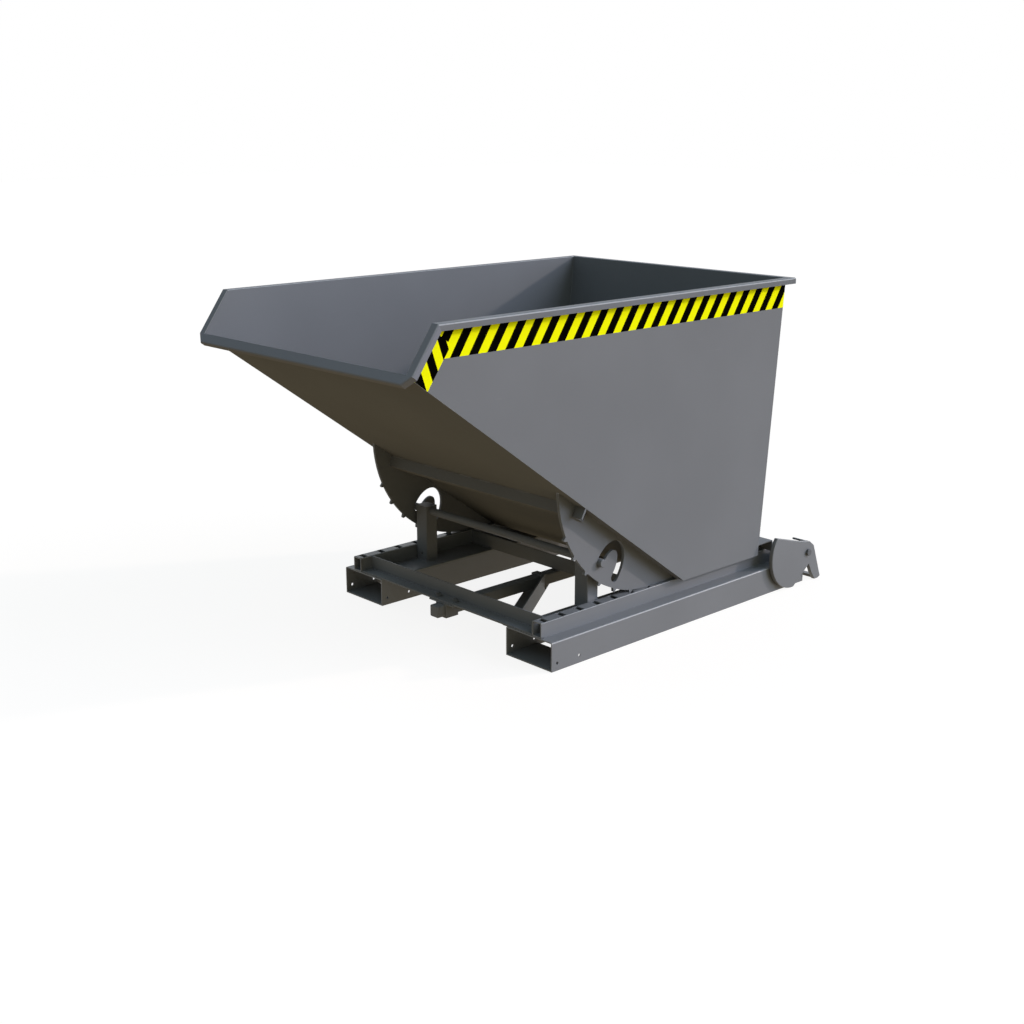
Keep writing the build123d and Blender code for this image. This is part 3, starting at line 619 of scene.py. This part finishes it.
# The washer's bore as a share of the shank; how much slimmer than nominal the shank and thread are;
# how far the shank runs into the head, and the thread into the shank.
boltFit = {
    "boreShare": 0.9,
    "shankFootSlim": 0.0004, "shankTopSlim": 0.0002, "threadSlim": 0.0003,
    "intoHead": 0.001, "intoShank": 0.002,
}
lockBolt = {
    **boltFit, "shank": 0.008, "corner": 0.013, "washer": 0.0125, "washerThick": 0.0018,
    "pitch": 0.002, "threadDepth": 0.0011, "head": 0.008, "nut": (0.0, 0.010), "threadTo": 0.0105,
}
sleeveBolt = {
    **boltFit, "shank": 0.006, "corner": 0.010, "washer": 0.0099, "washerThick": 0.0016,
    "pitch": 0.00175, "threadDepth": 0.0009, "head": 0.008, "nut": (0.003, 0.013), "threadTo": 0.0135,
}


def boltShape(spec, length):
    # Stands on z: the thread's end at 0, the head's top at length.
    bm = bmesh.new()
    shank, thick = spec["shank"], spec["washerThick"]
    bore = shank * spec["boreShare"]
    seat = length - spec["head"]
    nutLow, nutHigh = spec["nut"]
    shankFoot = (shank - spec["shankFootSlim"], spec["threadTo"])
    shankTop = (shank - spec["shankTopSlim"], seat + spec["intoHead"])
    threadTop = spec["threadTo"] + spec["intoShank"]
    hexagonal(bm, spec["corner"], seat + thick, length, False, True)
    washer(bm, bore, spec["washer"], seat, seat + thick)
    turned(bm, [shankFoot, shankTop])
    hexagonal(bm, spec["corner"], nutLow, nutHigh - thick, True, True)
    washer(bm, bore, spec["washer"], nutHigh - thick, nutHigh)
    threaded(bm, shank - spec["threadSlim"], 0.0, threadTop, spec["pitch"], spec["threadDepth"])
    return bm


def placeBolt(bm, origin, axis):
    turn = Vector((0, 0, 1)).rotation_difference(axis).to_matrix().to_4x4()
    bmesh.ops.transform(bm, matrix=Matrix.Translation(origin) @ turn, verts=bm.verts)


for side, sign in (("right", 1), ("left", -1)):
    node = "lock_bolt_" + side
    low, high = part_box(node)
    middle = (low + high) / 2
    bm = boltShape(lockBolt, high.x - low.x)
    start = low.x if sign > 0 else high.x
    placeBolt(bm, Vector((start, middle.y, middle.z)), Vector((sign, 0, 0)))
    piece = finishPiece("lockBolt_" + side, bm, boltPaint, "base", 30.0)
    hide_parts(node)

low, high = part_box("sleeve_bolts")
boltX = (high.x - low.x) / 2 - sleeveBolt["corner"]
both = bmesh.new()
for sign in (-1, 1):
    bm = boltShape(sleeveBolt, high.z - low.z)
    # The head hangs below and the nut sits on the beam's foot.
    placeBolt(bm, Vector((sign * boltX, (low.y + high.y) / 2, high.z)), Vector((0, 0, -1)))
    part = meshOf(bm, "sleeveBoltPart")
    both.from_mesh(part)
    bpy.data.meshes.remove(part)
piece = finishPiece("sleeveBoltPair", both, boltPaint, "base", 30.0)
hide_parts("sleeve_bolts")
print("bolts made")

studio = {
    "floorSize": 60.0, "floorDrop": 0.0005, "floorColour": (0.19, 0.165, 0.148), "floorLift": 0.88,
    "floorRough": 0.9, "grainScale": 6.0, "grainBand": (0.3, 0.7), "grainShade": 0.985,
    "bounce": (0.348, 0.275, 0.160), "backdrop": (1.0, 1.0, 1.0), "horizon": 0.02,
    "above": (0.390, 0.560, 0.690), "right": (0.474, 0.477, 0.337), "left": (0.80, 0.90, 0.92),
    "front": (0.07, 0.065, 0.05),
}
# The small key comes low from behind and to the right; the wide fill softens that side.
keyLamp = {
    "strength": 1.45, "colour": (1.0, 0.86, 0.76), "angle": 3.0, "azimuth": 151.0, "elevation": 19.5,
}
fillLamp = {
    "strength": 2.33, "colour": (0.70, 0.785, 1.0), "angle": 50.0, "azimuth": 130.0, "elevation": 25.0,
}


def shownRay(wire):
    # 1 for what the camera sees, straight, in a reflection or through something clear.
    kinds = ("Is Camera Ray", "Is Glossy Ray", "Is Transmission Ray")
    straight, mirrored, through = [wire.node("LightPath", output=kind) for kind in kinds]
    return straight.larger(mirrored.larger(through))


def buildFloor(spec):
    bm = bmesh.new()
    bmesh.ops.create_grid(bm, x_segments=8, y_segments=8, size=spec["floorSize"] / 2)
    floor = bpy.data.objects.new("floor", meshOf(bm, "floor"))
    floor.location.z = -spec["floorDrop"]
    bpy.context.scene.collection.objects.link(floor)
    material, shader, wire = newMaterial("floorPale")
    grain = wire.node("TexCoord", output="Object").noise(spec["grainScale"], 3.0)
    dark, light = colour(spec["floorColour"], spec["grainShade"]), colour(spec["floorColour"])
    wire.feed(shader, {
        "Base Color": grain.between(*spec["grainBand"]).mix(dark, light),
        "Roughness": spec["floorRough"], "Specular IOR Level": 0.0,
        "Emission Color": (1.0, 1.0, 1.0, 1.0), "Emission Strength": spec["floorLift"],
    })
    # What the floor throws back up as soft light is dim and warm.
    bounce = wire.node("Emission", inputs={"Color": colour(spec["bounce"]), "Strength": 1.0})
    pale = Wire(wire.tree, shader.outputs[0])
    shown = wire.node("MixShader", inputs={0: shownRay(wire), 1: bounce, 2: pale})
    wire.feed(wire.tree.nodes["Material Output"], {"Surface": shown})
    floor.data.materials.append(material)


def buildSky(spec):
    # Soft light from above, the right and the left, and only a little from the front.
    world = bpy.data.worlds.new("studio")
    bpy.context.scene.world = world
    world.use_nodes = True
    wire = Wire(world.node_tree)
    x, y, z = wire.node("TexCoord", output="Generated").axes()
    overFloor = z.between(-spec["horizon"], spec["horizon"])

    def lobe(axis, rgb):
        strength = axis.larger(0.0)
        return wire.vector("MULTIPLY", strength * strength * overFloor, rgb)

    sides = wire.vector("ADD", lobe(x, spec["right"]), lobe(0 - x, spec["left"]))
    ends = wire.vector("ADD", lobe(0 - y, spec["front"]), lobe(z, spec["above"]))
    glow = wire.vector("ADD", sides, ends)
    shown = shownRay(wire).mix(glow, colour(spec["backdrop"]))
    wire.feed(world.node_tree.nodes["Background"], {"Color": shown, "Strength": 1.0})


def directionOf(spec):
    # From the object towards a lamp or the camera; azimuth 0 is straight ahead of the front.
    a, e = math.radians(spec["azimuth"]), math.radians(spec["elevation"])
    return Vector((math.sin(a) * math.cos(e), -math.cos(a) * math.cos(e), math.sin(e)))


def sunLamp(name, spec):
    lamp = bpy.data.lights.new(name, "SUN")
    lamp.energy = spec["strength"]
    lamp.color = spec["colour"]
    lamp.angle = math.radians(spec["angle"])
    sun = bpy.data.objects.new(name, lamp)
    sun.rotation_mode = "QUATERNION"
    sun.rotation_quaternion = directionOf(spec).to_track_quat("Z", "Y")
    bpy.context.scene.collection.objects.link(sun)


buildFloor(studio)
buildSky(studio)
sunLamp("key", keyLamp)
sunLamp("fill", fillLamp)
print("studio ready")

shot = {
    "azimuth": 46.763, "elevation": 15.785, "distance": 4.8029, "target": (0.0197, -0.1086, 0.3492),
    "lens": 50.0, "sensor": 36.0,
}


def buildCamera(spec):
    lens = bpy.data.cameras.new("camera")
    lens.lens = spec["lens"]
    lens.sensor_width = spec["sensor"]
    camera = bpy.data.objects.new("camera", lens)
    back = directionOf(spec)
    camera.location = Vector(spec["target"]) + back * spec["distance"]
    camera.rotation_mode = "QUATERNION"
    camera.rotation_quaternion = (-back).to_track_quat("-Z", "Y")
    bpy.context.scene.collection.objects.link(camera)
    bpy.context.scene.camera = camera
    bpy.context.scene.view_settings.view_transform = "Standard"


buildCamera(shot)
print("camera placed")
